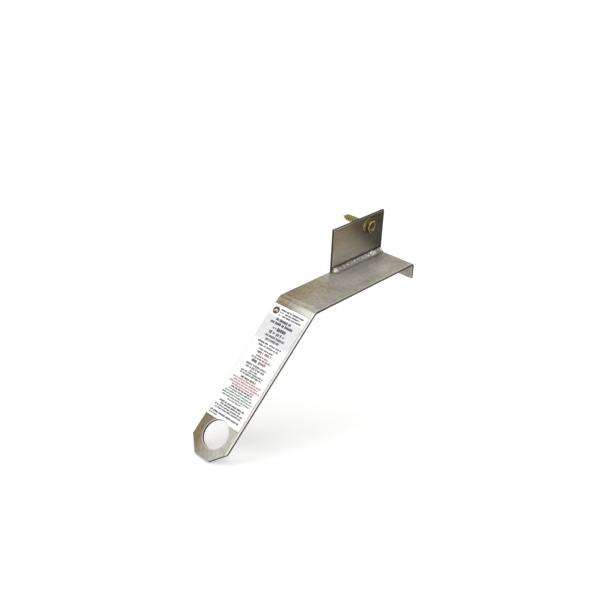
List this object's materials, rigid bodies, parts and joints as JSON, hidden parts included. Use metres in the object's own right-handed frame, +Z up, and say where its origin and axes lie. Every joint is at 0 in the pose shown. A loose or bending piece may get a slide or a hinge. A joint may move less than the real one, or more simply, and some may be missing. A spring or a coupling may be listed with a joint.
{
  "type": "roof bracket",
  "caption": "Wall-plate fall-arrest anchor bracket: bent flat-bar strap with a rear lip, welded upright screw plate and a sloping leg ending in a round eye.",
  "frame": {"origin": "middle of the seat, the underside of the level base, halfway between the outside fold line and the back of the lip and in the middle of the bar's width", "axes": "+X along the wall, away from the side that the upright plate stands on; +Y from the outside of the wall to the inside, where the lip hooks down; +Z up"},
  "size_m": [0.084, 0.3003, 0.1777],
  "materials": {
    "bar_steel": "bare rolled mill finish, slightly oily, with rubbed edges",
    "weld_steel": "as welded, rippled, with heat tint beside it",
    "vinyl": "printed white vinyl, satin",
    "washer_steel": "plain zinc plated",
    "yellow_zinc": "yellow chromate over zinc"
  },
  "bodies": {
    "bracket": {"strap": "bar_steel", "upright_plate": "bar_steel", "weld_bead": "weld_steel", "label": "vinyl"},
    "washer": {"washer": "washer_steel"},
    "screw": {"screw": "yellow_zinc"}
  },
  "joints": [
    {"name": "screw_back_out", "type": "slide", "parent": "bracket", "child": "washer", "axis": [1, 0, 0], "range_m": [0, 0.03243]},
    {"name": "screw_turn", "type": "hinge", "parent": "washer", "child": "screw", "pos_m": [-0.02223, 0.05295, 0.04308], "axis": [1, 0, 0], "range_deg": [0, 4140]}
  ],
  "couplings": [
    {"joint": "screw_back_out", "follows": "screw_turn", "m_per_rad": 0.00044882}
  ]
}
